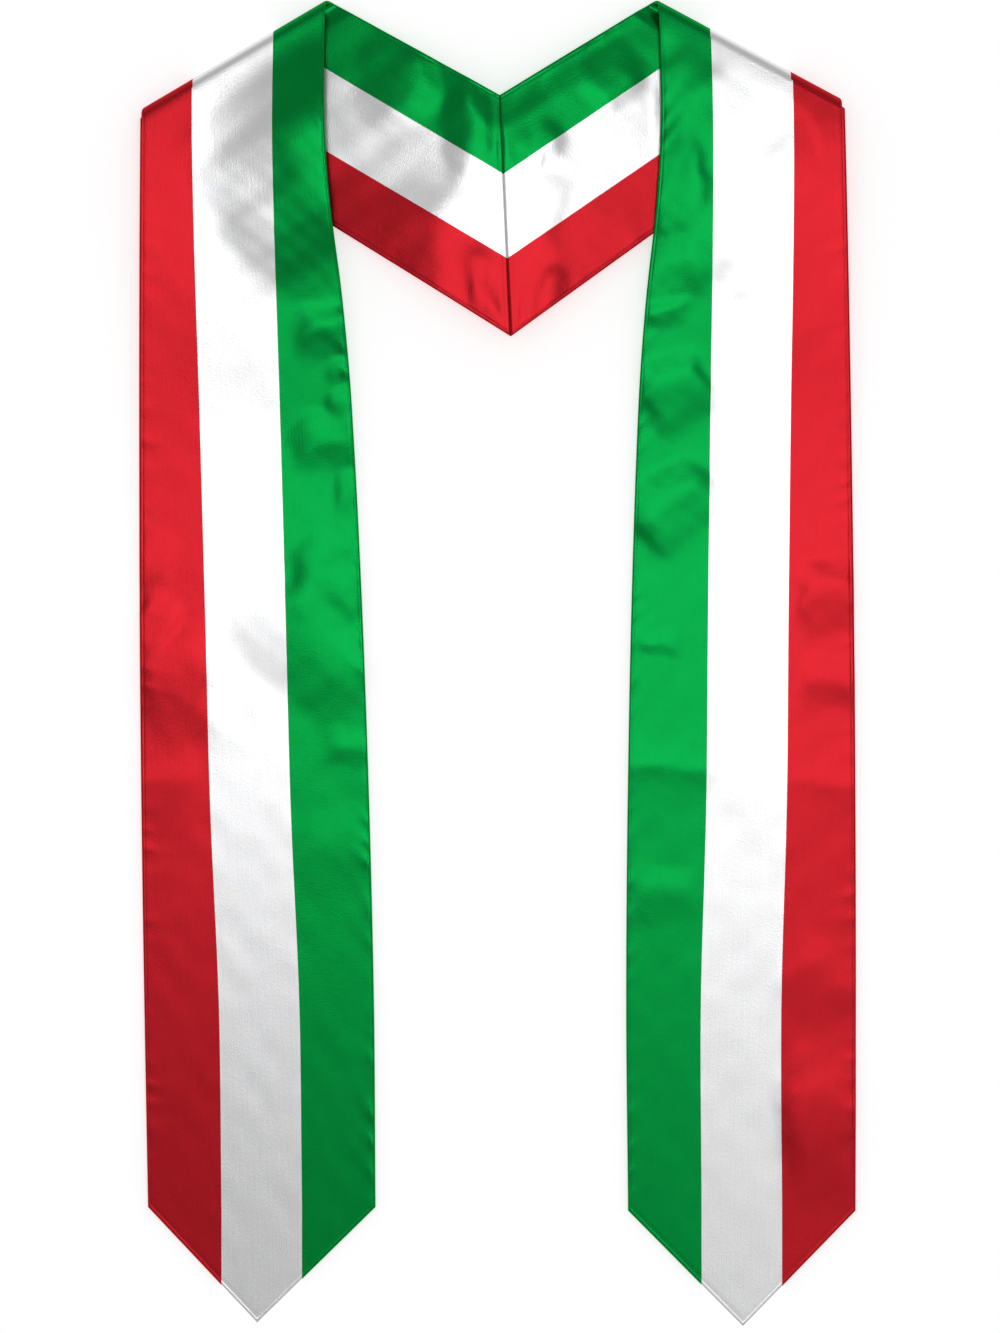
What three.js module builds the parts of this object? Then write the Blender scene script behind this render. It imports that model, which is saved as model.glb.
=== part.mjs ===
// Graduation stole, lying face up with both front panels folded forward over the back of the neck.
// Millimetres. X runs to the right, Y towards the neck and Z up. The underside lies at Z = 0.

import * as THREE from "three";

// Lengths and widths of one half
const frontLength = 697; // shoulder peak straight down to the panel's lower corners
const tipDepth = 67; // lower corners down to the point
const shoulderWidth = 106; // straight across the panel, just below the shoulder fold
const endWidth = 131.5; // straight across the panel at its lower corners
const whiteWidth = 46.5; // the face's white band, all the way down the panel

// The back of the neck
const neckSpread = 191; // between the two shoulder peaks
const neckDrop = 55; // peaks down to the top of the centre-back seam
const seamLength = 139.5; // centre-back seam, from the neck edge to the lower V
const seamLean = 6.4; // how far the foot of the seam lies to the right of its top

// Cloth
const clothThickness = 1; // face or lining, each
const layerGap = 0.3; // between the face and the lining
const bandGap = 0.3; // between two bands of one layer, and between the halves at the seam
const foldRadius = 5; // mid-thickness radius of the soft roll along the shoulder
const foldRelax = 46; // distance over which the panel comes down from the roll
const bridge = 10; // how far the panel stays up beyond the edge of the cloth it lies on
const settle = 36; // distance over which it then comes down to the ground
const swellLift = 3.2; // height of the tallest swell in the lying cloth

// How each half lies. neck: its share of neckSpread. slope: fall of the shoulder fold, in degrees.
// lean and bow: how far the outer edge drifts and bulges outwards, as shares of endWidth.
// point: where the tip's point lies, as a share of the width from the inner edge.
// drop: how much further down this half reaches, as a share of tipDepth.
const halves = [
  { side: "left", sign: -1, neck: 0.524, slope: 30.5, lean: -0.026, bow: 0.024, point: 0.52, drop: 0 },
  { side: "right", sign: 1, neck: 0.476, slope: 28.2, lean: 0.062, bow: 0.024, point: 0.505, drop: 0.03 },
];

// How far the outer bands have grown from their shoulder width (0) to their width at the end (1).
const taper = [
  { down: 0.0, red: 0.0, green: 0.0 },
  { down: 0.1, red: 0.0, green: 0.02 },
  { down: 0.17, red: 0.09, green: 0.24 },
  { down: 0.25, red: 0.23, green: 0.67 },
  { down: 0.335, red: 0.39, green: 0.93 },
  { down: 0.5, red: 0.63, green: 1.14 },
  { down: 0.667, red: 0.79, green: 1.23 },
  { down: 0.833, red: 1.05, green: 1.05 },
  { down: 1.0, red: 1.0, green: 1.0 },
];

// The bands at the back of the neck, as shares of the width from the neck edge: where green ends and
// where white ends. The lining's lines run straight as far as they show, from the seam towards fold,
// and under the panel they drift to the face's lines, which they follow from the roll on.
const neckBands = { seam: { green: 0.328, white: 0.677 }, fold: { green: 0.32, white: 0.695 }, shown: 0.75 };

// Swells of the front panels. down: share of frontLength. across: share of the width from the inner
// edge. long and wide: half sizes, as shares of frontLength and endWidth. lift: share of swellLift.
// turn: degrees from the panel's length, leaning outwards at the top.
const panelSwells = [
  { side: "left", down: 0.21, across: 0.12, long: 0.07, wide: 0.34, lift: 0.55, turn: 18 },
  { side: "left", down: 0.34, across: 0.02, long: 0.06, wide: 0.3, lift: 0.7, turn: -20 },
  { side: "left", down: 0.44, across: 0.08, long: 0.08, wide: 0.36, lift: 0.6, turn: 25 },
  { side: "left", down: 0.5, across: 0.98, long: 0.1, wide: 0.4, lift: 0.7, turn: 10 },
  { side: "left", down: 0.6, across: 0.05, long: 0.09, wide: 0.42, lift: 1.0, turn: -15 },
  { side: "left", down: 0.68, across: 0.95, long: 0.05, wide: 0.55, lift: 0.8, turn: 70 },
  { side: "left", down: 0.3, across: 0.9, long: 0.1, wide: 0.4, lift: 0.5, turn: -12 },
  { side: "right", down: 0.25, across: 0.12, long: 0.07, wide: 0.32, lift: 0.55, turn: -15 },
  { side: "right", down: 0.36, across: 0.06, long: 0.07, wide: 0.4, lift: 0.8, turn: 40 },
  { side: "right", down: 0.46, across: 0.06, long: 0.06, wide: 0.38, lift: 0.75, turn: 50 },
  { side: "right", down: 0.6, across: 0.1, long: 0.06, wide: 0.42, lift: 1.0, turn: 60 },
  { side: "right", down: 0.7, across: 0.05, long: 0.06, wide: 0.4, lift: 0.7, turn: 55 },
  { side: "right", down: 0.49, across: 0.95, long: 0.07, wide: 0.42, lift: 0.7, turn: -30 },
  { side: "right", down: 0.64, across: 0.96, long: 0.08, wide: 0.5, lift: 0.9, turn: -50 },
  { side: "right", down: 0.82, across: 0.97, long: 0.08, wide: 0.4, lift: 0.6, turn: 15 },
];

// Swells at the back of the neck. out: share of the way from the seam to the fold. across: share of
// the width from the neck edge. long and wide: half sizes, as shares of neckSpread and seamLength.
const neckSwells = [
  { side: "left", out: 0.2, across: 0.3, long: 0.13, wide: 0.42, lift: 0.45 },
  { side: "right", out: 0.22, across: 0.34, long: 0.13, wide: 0.45, lift: 0.5 },
];

// Rows along the length
const neckRows = 9;
const rollRows = 6;
const foldRows = 17;
const frontRows = 34;
const foldRowsReach = 0.24; // share of the panel that the foldRows take

const bandColors = { green: 0x0a9a42, white: 0xf1f1f2, red: 0xd3222f };

// Values worked out from the sizes above
const stack = 2 * clothThickness + layerGap;
const lying = stack / 2; // mid-thickness height of cloth on the ground
const riding = lying + stack + layerGap; // mid-thickness height of a panel on the back of the neck
const rollTop = lying + 2 * foldRadius;
const rollReach = foldRadius + stack / 2; // fold's outermost line to the axis of the roll
const quarterRoll = (Math.PI / 2) * foldRadius;
const sideBandShoulder = (shoulderWidth - whiteWidth) / 2;
const sideBandEnd = (endWidth - whiteWidth) / 2;

const mix = THREE.MathUtils.lerp;
const radians = THREE.MathUtils.degToRad;

// 0 before from, 1 after to, and a smooth rise between them.
function rise(x, from, to) {
  return THREE.MathUtils.smootherstep(x, from, to);
}

// A rounded mound: 1 at the centre, level and 0 from a radius of 1 outwards.
function mound(x, y) {
  const inside = Math.max(1 - x * x - y * y, 0);
  return inside * inside;
}

// Smooth cubic curve through one column of a table whose first column rises.
function follow(table, key, column, x) {
  const last = table.length - 1;
  if (x <= table[0][key]) return table[0][column];
  if (x >= table[last][key]) return table[last][column];
  const i = table.findIndex((row) => row[key] > x) - 1;
  const slope = (a, b) => (table[b][column] - table[a][column]) / (table[b][key] - table[a][key]);
  const span = table[i + 1][key] - table[i][key];
  const start = slope(Math.max(i - 1, 0), i + 1) * span;
  const end = slope(i, Math.min(i + 2, last)) * span;
  const u = (x - table[i][key]) / span;
  const [p, q] = [table[i][column], table[i + 1][column]];
  return p + u * (start + u * (3 * (q - p) - 2 * start - end + u * (2 * (p - q) + start + end)));
}

// Widths of the face's bands at a share of the way down the panel.
function bandWidths(down) {
  const green = mix(sideBandShoulder, sideBandEnd, follow(taper, "down", "green", down));
  const red = mix(sideBandShoulder, sideBandEnd, follow(taper, "down", "red", down));
  return { green, white: whiteWidth, red, total: green + whiteWidth + red };
}

// One half's fold line and edges, in plan.
function layOut(half) {
  const slope = radians(half.slope);
  const peak = new THREE.Vector2(half.sign * half.neck * neckSpread, 0);
  const along = new THREE.Vector2(half.sign * Math.cos(slope), -Math.sin(slope));
  const inward = new THREE.Vector2(-half.sign * Math.sin(slope), -Math.cos(slope));
  // A lengthwise line crosses the fold at a slant, so it shifts along the fold as it goes round.
  const shift = quarterRoll * Math.tan(slope);
  const innerTop = peak.x + half.sign * Math.sin(slope) * (quarterRoll - rollReach);
  const seamTop = new THREE.Vector2(0, -neckDrop);
  const seamFoot = new THREE.Vector2(seamLean, -neckDrop - Math.sqrt(seamLength ** 2 - seamLean ** 2));
  const outerTop = innerTop + half.sign * shoulderWidth;
  return { ...half, slope, peak, along, inward, shift, seamTop, seamFoot, outerTop };
}

// Plan point at a distance along the fold line and inwards from it.
function fromFold(lay, along, inward) {
  return lay.peak.clone().addScaledVector(lay.along, along).addScaledVector(lay.inward, inward);
}

// Distances along the fold line and inwards from it, of a plan point.
function toFold(lay, point) {
  const offset = point.clone().sub(lay.peak);
  return { along: offset.dot(lay.along), inward: offset.dot(lay.inward) };
}

// X of the lengthwise line at a share of the panel's width, at a share of the way down.
function panelX(lay, down, across) {
  const d = THREE.MathUtils.clamp(down, 0, 1);
  const drift = endWidth * (lay.lean * d + lay.bow * Math.sin(Math.PI * d));
  const width = bandWidths(d).total;
  return lay.outerTop + lay.sign * (drift - (1 - across) * width);
}

// Where the roll hands a lengthwise line over to the front panel.
function panelStart(lay, across) {
  const x = lay.outerTop - lay.sign * (1 - across) * shoulderWidth;
  const sideways = (x - lay.peak.x) * lay.sign;
  const along = (sideways + rollReach * Math.sin(lay.slope)) / Math.cos(lay.slope);
  return { along, point: fromFold(lay, along, rollReach) };
}

// Where a lengthwise line leaves the back of the neck and starts to go round the roll.
function neckEnd(lay, across) {
  const crease = panelStart(lay, across).along - lay.shift;
  const seam = toFold(lay, lay.seamTop.clone().lerp(lay.seamFoot, across));
  const share = quarterRoll / (seam.inward - rollReach + quarterRoll);
  return { crease, along: mix(crease, seam.along, share) };
}

// Signed distance of a plan point beyond the outer edge of the back of the neck.
function beyondNeckEdge(lay, point) {
  const corner = fromFold(lay, neckEnd(lay, 1).along, rollReach);
  const edge = corner.clone().sub(lay.seamFoot).normalize();
  const offset = point.clone().sub(lay.seamFoot);
  return lay.sign * (offset.x * edge.y - offset.y * edge.x);
}

// Height that the swells of the front panel add.
function panelLift(lay, down, across) {
  let lift = 0;
  for (const swell of panelSwells.filter((row) => row.side === lay.side)) {
    const turn = radians(swell.turn);
    const y = (swell.down - down) * frontLength;
    const x = (across - swell.across) * endWidth;
    const lengthwise = y * Math.cos(turn) + x * Math.sin(turn);
    const sideways = x * Math.cos(turn) - y * Math.sin(turn);
    lift += swell.lift * mound(lengthwise / (swell.long * frontLength), sideways / (swell.wide * endWidth));
  }
  return lift * swellLift;
}

// Height that the swells at the back of the neck add.
function neckLift(lay, out, across) {
  let lift = 0;
  for (const swell of neckSwells.filter((row) => row.side === lay.side)) {
    const x = ((out - swell.out) * neckSpread) / 2;
    const y = (across - swell.across) * seamLength;
    lift += swell.lift * mound(x / (swell.long * neckSpread), y / (swell.wide * seamLength));
  }
  return lift * swellLift;
}

// Mid-thickness point at the back of the neck, out = 0 at the seam and 1 at the roll.
function neckPoint(lay, out, across) {
  const start = lay.seamTop.clone().lerp(lay.seamFoot, across);
  start.x += (lay.sign * bandGap) / 2;
  const plan = start.lerp(fromFold(lay, neckEnd(lay, across).along, rollReach), out);
  return new THREE.Vector3(plan.x, plan.y, lying + neckLift(lay, out, across));
}

// Mid-thickness point on the shoulder roll, round = 0 at the neck side and 1 at the panel side.
function rollPoint(lay, round, across) {
  const turn = (round - 0.5) * Math.PI;
  const { crease, along: before } = neckEnd(lay, across);
  const after = panelStart(lay, across).along;
  const along = round < 0.5 ? mix(before, crease, 2 * round) : mix(crease, after, 2 * round - 1);
  const plan = fromFold(lay, along, rollReach - foldRadius * Math.cos(turn));
  return new THREE.Vector3(plan.x, plan.y, lying + foldRadius * (1 + Math.sin(turn)));
}

// Mid-thickness point on the front panel, run = 0 at the roll and 1 at the lower end.
function panelPoint(lay, run, across) {
  const top = panelStart(lay, across).point;
  const toPoint = across < lay.point ? across / lay.point : (1 - across) / (1 - lay.point);
  const foot = -frontLength - tipDepth * (toPoint + lay.drop);
  const y = mix(top.y, foot, run);
  const down = -y / frontLength;
  const plan = new THREE.Vector2(panelX(lay, down, across), y);
  const onGround = rise(beyondNeckEdge(lay, plan), bridge, bridge + settle);
  const rest = mix(riding, lying, onGround) + panelLift(lay, down, across);
  const relaxed = rise(toFold(lay, plan).inward, rollReach, rollReach + foldRelax);
  return new THREE.Vector3(plan.x, plan.y, mix(rollTop, rest, relaxed));
}

// Mid-thickness point at a station: 0 to 1 neck, 1 to 2 roll, 2 to 3 front panel.
function midPoint(lay, station, across) {
  if (station < 1) return neckPoint(lay, station, across);
  if (station < 2) return rollPoint(lay, station - 1, across);
  return panelPoint(lay, station - 2, across);
}

// Unit normal of the mid-thickness surface, on the face's side.
function faceNormal(lay, station, across) {
  const step = 1e-4;
  const middle = Math.floor(station) + THREE.MathUtils.clamp(station % 1, step, 1 - step);
  const before = midPoint(lay, middle - step / 2, across);
  const lengthwise = midPoint(lay, middle + step / 2, across).sub(before);
  const crosswise = midPoint(lay, middle, across + step).sub(midPoint(lay, middle, across - step));
  return crosswise.cross(lengthwise).normalize().multiplyScalar(-lay.sign);
}

// Share of the way down the panel of the line at a share of the width, 0 before the panel.
function downAt(lay, station, across) {
  return station < 2 ? 0 : -panelPoint(lay, station - 2, across).y / frontLength;
}

// Share of the width where a layer's green or white band ends.
function bandEnd(lay, layer, band, station) {
  const onPanel = (down) => {
    const { green, white, total } = bandWidths(down);
    return (band === "green" ? green : green + white) / total;
  };
  if (station >= 1) return onPanel(downAt(lay, station, onPanel(downAt(lay, station, 0.5))));
  const straight = mix(neckBands.seam[band], neckBands.fold[band], station);
  if (layer === "lining") return mix(straight, onPanel(0), rise(station, neckBands.shown, 1));
  return mix(neckBands.seam[band], onPanel(0), station);
}

// Shares of the width of a band's three lengthwise lines. The middle one runs to the tip's point.
function bandLines(lay, layer, band, station) {
  const trim = bandGap / (2 * shoulderWidth);
  const greenEnd = bandEnd(lay, layer, "green", station);
  const whiteEnd = bandEnd(lay, layer, "white", station);
  const begin = { green: 0, white: greenEnd + trim, red: whiteEnd + trim }[band];
  const end = { green: greenEnd - trim, white: whiteEnd - trim, red: 1 }[band];
  return [begin, band === "white" ? lay.point : (begin + end) / 2, end];
}

// Stations of the rows along one half.
function rowStations() {
  const rows = [];
  for (let i = 0; i < neckRows; i++) rows.push(i / neckRows);
  for (let i = 0; i < rollRows; i++) rows.push(1 + i / rollRows);
  for (let i = 0; i < foldRows; i++) rows.push(2 + (foldRowsReach * i) / foldRows);
  for (let i = 0; i <= frontRows; i++) rows.push(2 + mix(foldRowsReach, 1, i / frontRows));
  return rows;
}

// Closed shell of one band of one layer: an upper and a lower skin joined along their rims.
function bandShell(lay, layer, band) {
  const low = layer === "face" ? layerGap / 2 : -layerGap / 2 - clothThickness;
  const rows = rowStations().map((station) => {
    const lines = bandLines(lay, layer, band, station);
    return lines.map((across) => [midPoint(lay, station, across), faceNormal(lay, station, across)]);
  });
  const columns = rows[0].length;
  const positions = [];
  for (const offset of [low + clothThickness, low])
    for (const [point, normal] of rows.flat())
      positions.push(...point.clone().addScaledVector(normal, offset).toArray());

  const indices = [];
  const triangle = (a, b, c) => indices.push(...(lay.sign < 0 ? [a, b, c] : [a, c, b]));
  const quad = (a, b, c, d) => {
    triangle(a, b, c);
    triangle(a, c, d);
  };
  const under = rows.length * columns;
  const at = (row, column) => row * columns + column;
  const rim = (a, b) => quad(b, a, a + under, b + under);
  for (let i = 0; i < rows.length - 1; i++) {
    for (let j = 0; j < columns - 1; j++) {
      const [a, b, c, d] = [at(i, j), at(i, j + 1), at(i + 1, j + 1), at(i + 1, j)];
      quad(a, b, c, d);
      quad(a + under, d + under, c + under, b + under);
    }
    rim(at(i + 1, 0), at(i, 0));
    rim(at(i, columns - 1), at(i + 1, columns - 1));
  }
  for (let j = 0; j < columns - 1; j++) {
    rim(at(0, j), at(0, j + 1));
    rim(at(rows.length - 1, j + 1), at(rows.length - 1, j));
  }
  const geometry = new THREE.BufferGeometry();
  geometry.setAttribute("position", new THREE.Float32BufferAttribute(positions, 3));
  geometry.setIndex(indices);
  geometry.computeVertexNormals();
  return geometry;
}

const stole = new THREE.Group();
for (const lay of halves.map(layOut)) {
  for (const layer of ["face", "lining"]) {
    for (const band of ["green", "white", "red"]) {
      const satin = new THREE.MeshStandardMaterial({ color: bandColors[band], roughness: 0.38, metalness: 0 });
      const mesh = new THREE.Mesh(bandShell(lay, layer, band), satin);
      mesh.name = `${lay.side}_${layer}_${band}_band`;
      stole.add(mesh);
    }
  }
}

// The origin lies under the middle of the whole stole.
const middle = new THREE.Box3().setFromObject(stole).getCenter(new THREE.Vector3());
stole.position.set(-middle.x, -middle.y, 0);

export default stole;
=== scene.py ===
"""Graduation stole lying face up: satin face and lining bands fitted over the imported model.

Metres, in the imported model's frame: X to the right, Y towards the back of the neck, Z up.
"""

import math
from collections import namedtuple
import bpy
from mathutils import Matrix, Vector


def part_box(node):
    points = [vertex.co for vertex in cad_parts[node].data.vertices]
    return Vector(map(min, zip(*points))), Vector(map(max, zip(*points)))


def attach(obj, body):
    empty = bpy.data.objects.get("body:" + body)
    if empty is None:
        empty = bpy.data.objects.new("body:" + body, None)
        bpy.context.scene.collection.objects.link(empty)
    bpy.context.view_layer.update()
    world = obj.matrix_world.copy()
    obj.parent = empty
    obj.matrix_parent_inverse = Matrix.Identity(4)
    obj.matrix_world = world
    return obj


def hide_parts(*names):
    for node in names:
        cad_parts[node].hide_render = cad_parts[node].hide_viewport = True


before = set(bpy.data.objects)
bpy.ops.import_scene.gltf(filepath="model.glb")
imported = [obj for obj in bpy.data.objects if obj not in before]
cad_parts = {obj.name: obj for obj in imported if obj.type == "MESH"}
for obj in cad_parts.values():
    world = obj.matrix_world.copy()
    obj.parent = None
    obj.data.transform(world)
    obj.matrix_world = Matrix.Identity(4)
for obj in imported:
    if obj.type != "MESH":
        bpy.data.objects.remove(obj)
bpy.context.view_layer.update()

from types import SimpleNamespace

import bpy
import numpy as np

bl_info = {
    "name": "Graduation stole",
    "version": (1, 0, 0),
    "blender": (4, 5, 0),
    "location": "View3D > Sidebar > Stole",
    "description": "Builds the satin bands of a lying graduation stole and the stage it is seen on",
    "category": "Add Mesh",
}

BANDS = ("green", "white", "red")
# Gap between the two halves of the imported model, in metres
PACKED_SEAM_GAP = 0.0003

# How each half lies. neck: its share of the neck spread. slope: fall of the shoulder fold.
# lean and bow: drift and bulge of the outer edge, as shares of the end width. point: where the
# tip's point lies across the width. drop: extra reach, as a share of the tip's depth. crown and
# soft: how much the cloth still climbs past the shoulder roll and over what distance, in metres.
Half = namedtuple("Half", "side sign neck slope lean bow point drop crown soft")
HALVES = (
    Half("left", -1, 0.524, math.radians(30.5), -0.026, 0.024, 0.52, 0.0, 0.00012, 0.004),
    Half("right", 1, 0.476, math.radians(28.2), 0.062, 0.024, 0.505, 0.03, 0.00035, 0.013),
)

# How far the outer bands have grown from their shoulder width (0) to their width at the end (1).
Taper = namedtuple("Taper", "down red green")
TAPER = (
    Taper(0.0, 0.0, 0.0),
    Taper(0.1, 0.0, 0.02),
    Taper(0.17, 0.09, 0.24),
    Taper(0.25, 0.23, 0.67),
    Taper(0.335, 0.39, 0.93),
    Taper(0.5, 0.63, 1.14),
    Taper(0.667, 0.79, 1.23),
    Taper(0.833, 1.05, 1.05),
    Taper(1.0, 1.0, 1.0),
)

# Where green and white end at the back of the neck, as shares of the width from the neck edge: at
# its seam and towards the shoulder fold. From NECK_SHOWN of the way out, where the front panels
# cover it, they run over to their widths on the roll. Its bulge and folds die away from NECK_FLAT
# of the way out to the roll.
NeckBands = namedtuple("NeckBands", "green white")
NECK_AT_SEAM = NeckBands(0.328, 0.677)
NECK_AT_FOLD = NeckBands(0.32, 0.695)
NECK_SHOWN = 0.75
NECK_FLAT = 0.9

# Soft folds, in millimetres from the middle between the shoulder peaks: both ends of the crest,
# reach of its lit and its shaded flank, and its height. The shaded flank lies to the right of the
# way from start to end. Those of the face lie on the front panels, those of the lining at the
# back of the neck.
Fold = namedtuple("Fold", "layer start_x start_y end_x end_y lit shaded lift")
FOLDS = (
    Fold("face", -115, -5, -88, -146, 30, 84, 6.5),
    Fold("face", -116, -190, -84, -187, 18, 22, 1.05),
    Fold("face", -98, -216, -83, -213, 10, 9, 0.42),
    Fold("face", -99, -232, -82, -229, 10, 12, 0.42),
    Fold("face", -116, -255, -80, -254, 22, 22, 0.9),
    Fold("face", -93, -280, -80, -283, 12, 22, 0.4),
    Fold("face", -117, -329, -78, -343, 28, 32, 1.25),
    Fold("face", -137, -339, -74, -398, 25, 42, 1.2),
    Fold("face", -100, -429, -75, -434, 16, 15, 0.4),
    Fold("face", -115, -488, -74, -491, 30, 30, 0.3),
    Fold("face", -176, -54, -176, -86, 8, 16, 0.8),
    Fold("face", -208, -321, -188, -327, 18, 22, 0.4),
    Fold("face", -209, -353, -189, -360, 20, 30, 0.7),
    Fold("face", -211, -388, -165, -381, 30, 55, 1.1),
    Fold("face", 84, -103, 117, -98, 40, 60, 1.3),
    Fold("face", 84, -154, 117, -151, 20, 30, 0.9),
    Fold("face", 84, -180, 110, -178, 8, 11, 0.6),
    Fold("face", 84, -228, 116, -213, 22, 34, 1.25),
    Fold("face", 78, -304, 118, -274, 22, 32, 1.5),
    Fold("face", 79, -371, 104, -370, 10, 9, 0.35),
    Fold("face", 79, -516, 113, -516, 20, 20, 0.4),
    Fold("face", 213, -11, 123, -161, 60, 26, 1.1),
    Fold("face", 128, -45, 100, -27, 45, 14, 1.5),
    Fold("face", 122, -20, 114, -150, 60, 32, 1.6),
    Fold("face", 169, -56, 180, -55, 8, 12, 0.7),
    Fold("face", 179, -69, 201, -64, 14, 26, 1.2),
    Fold("face", 174, -340, 207, -338, 22, 32, 1.1),
    Fold("face", 175, -392, 207, -389, 18, 24, 0.7),
    Fold("face", 168, -549, 209, -577, 25, 35, 0.4),
    Fold("face", 165, -646, 209, -646, 60, 62, 1.2),
    Fold("lining", 35, -77, 5, -91, 18, 28, 0.9),
    Fold("lining", 81, -42, 53, -57, 18, 25, 0.9),
    Fold("lining", 27, -103, 23, -144, 16, 14, 0.45),
    Fold("lining", 29, -154, 26, -190, 12, 10, 0.7),
    Fold("lining", -13, -144, -4, -183, 8, 14, 0.7),
    Fold("lining", -55, -70, -50, -25, 34, 20, 1.0),
    Fold("lining", -13, -98, -18, -41, 20, 12, 1.3),
)

# Soft shares of a fold's flanks and of its fading ends, where along half of the crest the ends
# start to fade and how much of it that takes, and how far from the roll the folds of the front
# panels reach their height, in metres.
FLANK_SOFT = 0.3
END_SOFT = 0.45
FADE_FROM = 0.45
FADE_OVER = 0.95
FOLD_START = 0.058

# The bulge at the back of the neck, in millimetres: its height, how far from the middle its slopes
# start near the seam's foot (low) and near its top (high), and where they end. The middle lies
# NECK_MIDDLE to the right. The start changes from low to high over NECK_CHANGE above NECK_LOW.
# The bulge falls by a share of its height over the reach next to the neck edge. It winds by a share
# of what the folds do.
NeckSlope = namedtuple("NeckSlope", "low high end")
NECK_SLOPES = {"left": NeckSlope(32, 10, 122), "right": NeckSlope(12, 12, 140)}
NECK_BULGE = 8.5
NECK_MIDDLE = 4
NECK_LOW = -135
NECK_CHANGE = 45
NECK_EDGE_FALL = 0.12
NECK_EDGE_REACH = 22.0
NECK_WINDING = 0.5

# How the folds wind: wavelengths across and along, sideways push in millimetres, phase in turns.
Winding = namedtuple("Winding", "across along push phase")
WINDINGS = (
    Winding(83, 59, 1.6, 0.1),
    Winding(-47, 37, 0.7, 0.55),
    Winding(31, -23, 0.5, 0.3),
    Winding(17, 13, 0.2, 0.8),
)

# Sharp wrinkles, in millimetres from the middle between the shoulder peaks. turn: degrees from
# the Y axis, towards the left at the top. wide: half width of the ridge.
Wrinkle = namedtuple("Wrinkle", "layer x y long wide lift turn")
WRINKLES = (
    Wrinkle("lining", 89.5, -66, 22, 1.5, 0.3, 2),
    Wrinkle("lining", 94.5, -68, 20, 1.2, 0.25, -3),
    Wrinkle("lining", 16, -88, 20, 1.6, 0.3, 6),
    Wrinkle("lining", 22, -98, 24, 1.8, 0.25, -8),
    Wrinkle("lining", 19, -150, 24, 1.6, 0.3, 4),
    Wrinkle("lining", 13, -178, 18, 1.3, 0.25, -6),
    Wrinkle("lining", -14, -168, 22, 1.8, 0.35, 5),
    Wrinkle("lining", -18, -120, 20, 1.5, 0.2, -5),
)

# Crosswise creases left by folding the stole for storage. down, start and end: shares of the front
# length and the width. lift, above and below: height and reach of its two flanks, in millimetres.
# Their ends fade over CREASE_FADE of the width and their peaks are rounded over CREASE_ROUND mm.
Crease = namedtuple("Crease", "side down start end lift above below")
CREASES = (
    Crease("left", 0.646, 0.66, 1.4, 0.5, 12, 24),
    Crease("right", 0.635, -0.4, 0.3, 0.65, 12, 13),
    Crease("right", 0.65, 0.35, 0.75, 0.55, 24, 34),
    Crease("right", 0.65, 0.75, 1.4, 0.65, 16, 26),
)
CREASE_FADE = 0.2
CREASE_ROUND = 3.0

# Gentle ripples all over the panels: wavelengths across and along in millimetres, height in
# millimetres and phase in turns. Each half has them shifted by RIPPLE_SHIFT turns, one way or the
# other.
Ripple = namedtuple("Ripple", "across along height phase")
RIPPLES = (
    Ripple(61, 43, 0.012, 0.1),
    Ripple(-47, 71, 0.016, 0.35),
    Ripple(29, 37, 0.007, 0.6),
    Ripple(-23, 31, 0.007, 0.85),
    Ripple(140, 27, 0.01, 0.2),
    Ripple(-33, 19, 0.005, 0.45),
)
RIPPLE_SHIFT = 0.21

# Small ridges that run out from the inner and the outer edge, which are sewn: height and pitch in
# metres, slant, and phase in radians. They rise over PUCKER_RISE from the edge and fade over
# PUCKER_REACH, both in metres.
Pucker = namedtuple("Pucker", "height pitch skew phase")
INNER_PUCKERS = Pucker(0.0004, 0.019, 0.6, 1.0)
OUTER_PUCKERS = Pucker(0.00025, 0.016, 0.5, 2.3)
PUCKER_RISE = 0.0015
PUCKER_REACH = 0.006

# How the puckers drift in spacing (in radians) and in strength (as a share): wavelength in
# pitches, amount, and how many times the pucker's phase it is shifted by.
Drift = namedtuple("Drift", "pitches amount phases")
SPACING_DRIFTS = (Drift(5.3, 1.7, 1), Drift(2.9, 1.1, 2))
STRENGTH_DRIFT = Drift(7.7, 0.45, 3)

# Stations between which the fine relief comes up on the face and dies away on the lining
FACE_RELIEF_STARTS = (1.6, 2.0)
LINING_RELIEF_ENDS = (0.6, 1.0)

# Pressed seams, in metres. The allowance lies flat beside the centre-back seam and ends between
# two distances from it, the lip stands beside that seam, and the groove runs inside every edge.
Bead = namedtuple("Bead", "height at width")
SEAM_LIP = Bead(0.00012, 0.0022, 0.0014)
EDGE_GROOVE = Bead(-0.00009, 0.0022, 0.0004)
ALLOWANCE_HEIGHT = 0.00016
ALLOWANCE_ENDS = (0.011, 0.0155)

# Sewn edges are rounded over EDGE_REACH metres, down to a share of the thickness. The tip's edges
# slant, so they are nearer than the end of a lengthwise line by TIP_SLANT. At the centre-back seam
# the edge is rounded over less than elsewhere by SEAM_TIGHT.
EDGE_REACH = 0.0011
EDGE_SHARE = 0.1
TIP_SLANT = 0.7
SEAM_TIGHT = 1.8

# Mesh rows and columns, in millimetres: distances of the first ones from a sewn edge, the even
# steps after them, and the lengths and width that they are shared out over.
EDGE_STEPS = (0.0, 0.12, 0.3, 0.55, 0.85, 1.2, 1.6, 1.9, 2.2, 2.5, 2.9, 3.6)
NECK_STEP, NECK_LONG = 1.5, 98.0
PANEL_STEPS, PANEL_LONG = {"face": 2.0, "lining": 3.2}, 740.0
BAND_STEP, BAND_WIDE = 1.7, 38.0
ROLL_ROWS = 19
WHITE_COLUMNS = 15
# Angle from which the meshes' edges are drawn sharp
SHARP_FROM = math.radians(55)

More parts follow.
